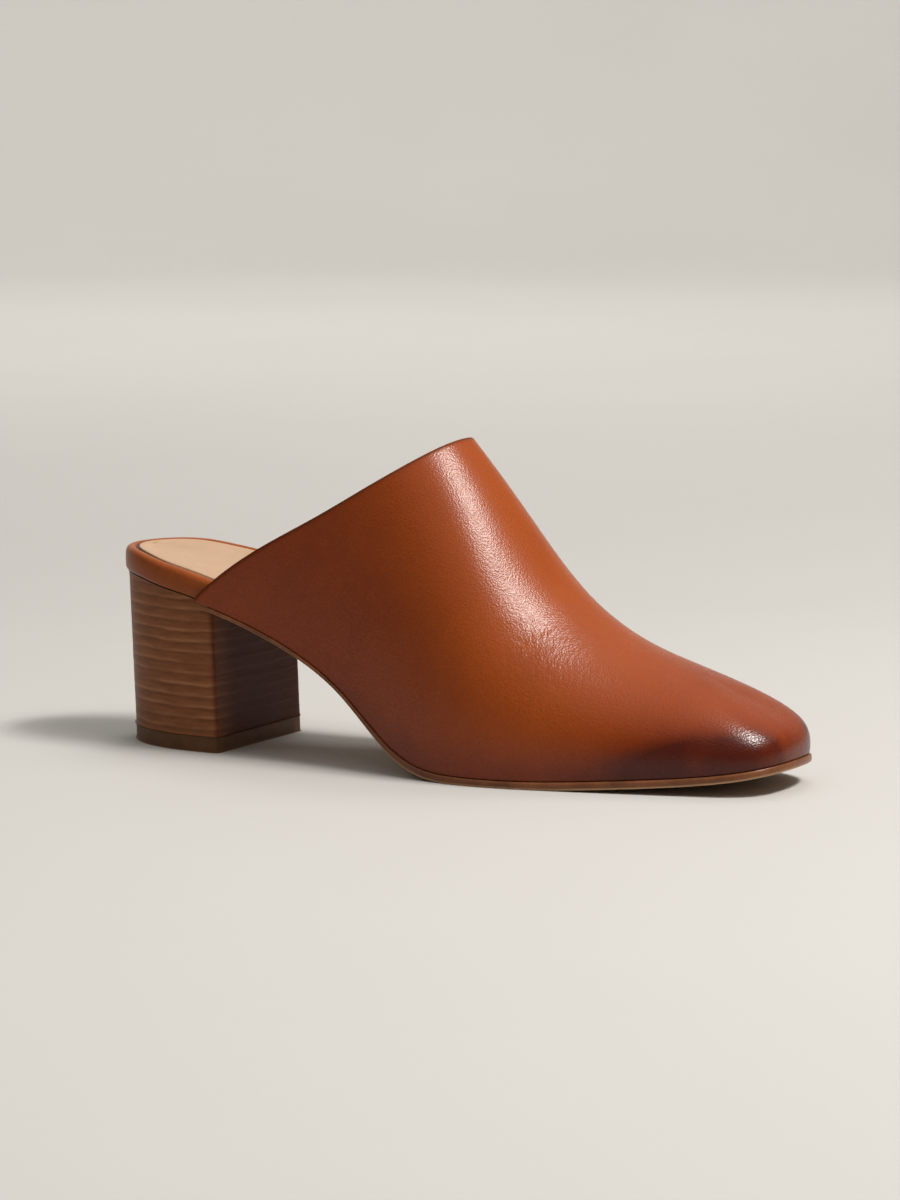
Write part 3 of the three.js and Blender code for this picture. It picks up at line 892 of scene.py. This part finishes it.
def block(levels, grow, spacing, heights, relief):
    """A solid from copies of the D at each level; relief gives the offset at each height."""
    loop, outward = heel_loop(grow, spacing)
    size = len(loop)
    points = []
    for level in range(levels):
        z, inset = heights(level, loop)
        xy = loop + outward * (relief(z, loop) - inset)[:, None]
        points.append(np.column_stack([xy[:, 0] + lean(z), xy[:, 1], z]))
    i = np.arange(size)
    j = (i + 1) % size
    quads = []
    for level in range(levels - 1):
        low, high = level * size, (level + 1) * size
        quads.append(np.stack([low + j, low + i, high + i, high + j], -1))
    faces = np.concatenate(quads).tolist()
    # The loop starts at the outer breast corner, so its two halves face each other.
    for base, up in ((0, False), ((levels - 1) * size, True)):
        rows = [[base + a, base + (size - 1 - a)] for a in range(size // 2)]
        cap = rows_to_faces(rows)
        if size % 2:
            cap.append([base + size // 2 - 1, base + size // 2, base + size // 2 + 1])
        faces += [face[::-1] for face in cap] if up else cap
    return np.concatenate(points), faces


def build_heel():
    spacing = 0.8
    levels = 112
    foot = TIP + 0.12
    rng = np.random.default_rng(7)
    steps = rng.uniform(-0.025, 0.025, LAYERS + 1)

    def heights(level, loop):
        s = level / (levels - 1)
        top = seat_line(loop[:, 0]) - GAP
        z = foot + (top - foot) * s
        ease = 0.25 * (np.exp(-((z - foot) / 0.35)) + np.exp(-((top - z) / 0.5)))
        return z, ease

    def relief(z, loop):
        ripple = 0.35 * np.sin(loop[:, 0] / 7.0 + loop[:, 1] / 11.0)
        place = (z - TIP + ripple) / LAYER
        layer = np.clip(np.floor(place).astype(int), 0, LAYERS - 1)
        part = place - np.floor(place)
        groove = np.exp(-((np.minimum(part, 1 - part) * LAYER / 0.35) ** 2))
        flat = smoothstep(part, 0, 0.15) * (1 - smoothstep(part, 0.85, 1))
        return steps[layer] * flat - 0.03 * groove

    points, faces = block(levels, 0.0, spacing, heights, relief)
    # The breast is painted nearly black as shade under the arch, redder beside the outer corner, where light
    # reaches it.
    depth = HEEL_BREAST - (points[:, 0] - lean(points[:, 2]))
    stain = (1 - smoothstep(depth, 0.3, 1.4)) * (0.45 + 0.45 * smoothstep(points[:, 1], -24, -12))
    make_piece(
        "stacked_heel", points, faces, stacked_leather(), "stacked_leather", ("heel",), sharp=50,
        stain=stain,
    )


def build_lift():
    levels = [
        (0.0, 0.45), (0.06, 0.22), (0.25, 0.06), (0.6, 0.0), (1.6, 0.0), (2.6, 0.0),
        (3.6, 0.0), (4.6, 0.0), (TIP - 0.14, 0.03), (TIP - 0.04, 0.14), (TIP, 0.4),
    ]

    def heights(level, loop):
        z, inset = levels[level]
        return np.full(len(loop), z), np.full(len(loop), inset)

    points, faces = block(len(levels), 0.03, 0.9, heights, lambda z, loop: np.zeros(len(loop)))
    make_piece("top_lift", points, faces, lift_rubber(), "tip_rubber", ("heel_tip",), sharp=50)


SOCK_LEATHER = sock_leather()
build_upper()
build_footbed()
build_sock()
build_outsole()
build_heel()
build_lift()

# ---------------------------------------------------------------- floor, light and camera


def studio_floor():
    """A pale round sweep: flat under the shoe, curving up far away on every side."""
    flat, bend, top, turns = 2.8, 1.2, 3.0, 96
    profile = [(r, 0.0) for r in (0.0, 0.5, 1.2, 2.0, flat)]
    for step in range(1, 13):
        turn = math.pi / 2 * step / 12
        profile.append((flat + bend * math.sin(turn), bend * (1 - math.cos(turn))))
    profile.append((flat + bend, top))
    points = [(0.0, 0.0, 0.0)]
    for r, z in profile[1:]:
        for i in range(turns):
            a = 2 * math.pi * i / turns
            points.append((r * math.cos(a), r * math.sin(a), z))
    faces = [[0, 1 + i, 1 + (i + 1) % turns] for i in range(turns)]
    for ring in range(len(profile) - 2):
        a, b = 1 + ring * turns, 1 + (ring + 1) * turns
        for i in range(turns):
            j = (i + 1) % turns
            faces.append([a + i, b + i, b + j, a + j])
    mesh = bpy.data.meshes.new("floor")
    mesh.from_pydata(points, [], faces)
    mesh.polygons.foreach_set("use_smooth", [True] * len(mesh.polygons))
    material, tree, shader = new_material("pale_floor")
    tone = noise(tree, object_place(tree), 0.35, 3, 0.5)
    colour = ramp(tree, tone, [(0.3, (0.440, 0.430, 0.414)), (0.7, (0.454, 0.444, 0.428))])
    tree.links.new(colour, shader.inputs["Base Color"])
    shader.inputs["Roughness"].default_value = 0.75
    shader.inputs["Specular IOR Level"].default_value = 0.2
    mesh.materials.append(material)
    floor = bpy.data.objects.new("floor", mesh)
    bpy.context.scene.collection.objects.link(floor)


def direction(azimuth, elevation):
    a, e = math.radians(azimuth), math.radians(elevation)
    return Vector((math.sin(a) * math.cos(e), -math.cos(a) * math.cos(e), math.sin(e)))


def softbox(name, place, aim, width, height, power, tint=(1, 0.97, 0.93)):
    light = bpy.data.lights.new(name, "AREA")
    light.shape = "RECTANGLE"
    light.size, light.size_y = width, height
    light.energy = power
    light.color = tint
    lamp = bpy.data.objects.new(name, light)
    lamp.location = place
    lamp.rotation_mode = "QUATERNION"
    lamp.rotation_quaternion = (aim - place).to_track_quat("-Z", "Y")
    bpy.context.scene.collection.objects.link(lamp)
    return lamp


def studio():
    low, high = CAD_BOX
    middle = (low + high) / 2
    world = bpy.data.worlds.new("studio")
    world.use_nodes = True
    tree = world.node_tree
    way = add(tree, "ShaderNodeTexCoord").outputs["Generated"]
    up = add(tree, "ShaderNodeSeparateXYZ", ("Vector", way))
    sky = ramp(tree, up.outputs["Z"], [
        (0.0, (0.27, 0.255, 0.23)),
        (0.35, (0.36, 0.345, 0.32)),
        (1.0, (0.76, 0.745, 0.71)),
    ])
    tree.links.new(sky, tree.nodes["Background"].inputs["Color"])
    tree.nodes["Background"].inputs["Strength"].default_value = 1.0
    bpy.context.scene.world = world
    softbox("key", middle + direction(90, 57) * 1.6, middle, 0.84, 0.44, 15)
    softbox("key_core", middle + direction(94, 57) * 1.55, middle, 0.42, 0.19, 17)
    behind = softbox("behind", middle + direction(196, 60) * 1.7, middle, 0.80, 0.50, 6)
    behind.visible_glossy = False
    away = -direction(CAMERA_AZIMUTH, 0)
    softbox("backdrop", away * 1.6 + Vector((0, 0, 1.9)), away * 3.8 + Vector((0, 0, 0.5)), 2.4, 0.6, 60)


CAMERA_AZIMUTH = 31.9
CAMERA_ELEVATION = 9.5
CAMERA_DISTANCE = 1.417
LENS = 128


def photo_camera():
    camera = bpy.data.objects.new("camera", bpy.data.cameras.new("camera"))
    camera.data.lens = LENS
    camera.data.clip_start, camera.data.clip_end = 0.05, 30
    heel_foot = Vector(((HEEL_BREAST + HEEL_LEAN + SHIFT[0]) * MM, SHIFT[1] * MM, 0))
    camera.location = heel_foot + direction(CAMERA_AZIMUTH, CAMERA_ELEVATION) * CAMERA_DISTANCE
    low, high = CAD_BOX
    aim = (low + high) / 2
    camera.rotation_mode = "QUATERNION"
    camera.rotation_quaternion = (aim - camera.location).to_track_quat("-Z", "Y")
    bpy.context.scene.collection.objects.link(camera)
    bpy.context.scene.camera = camera


studio_floor()
studio()
photo_camera()
bpy.context.scene.view_settings.view_transform = "Standard"
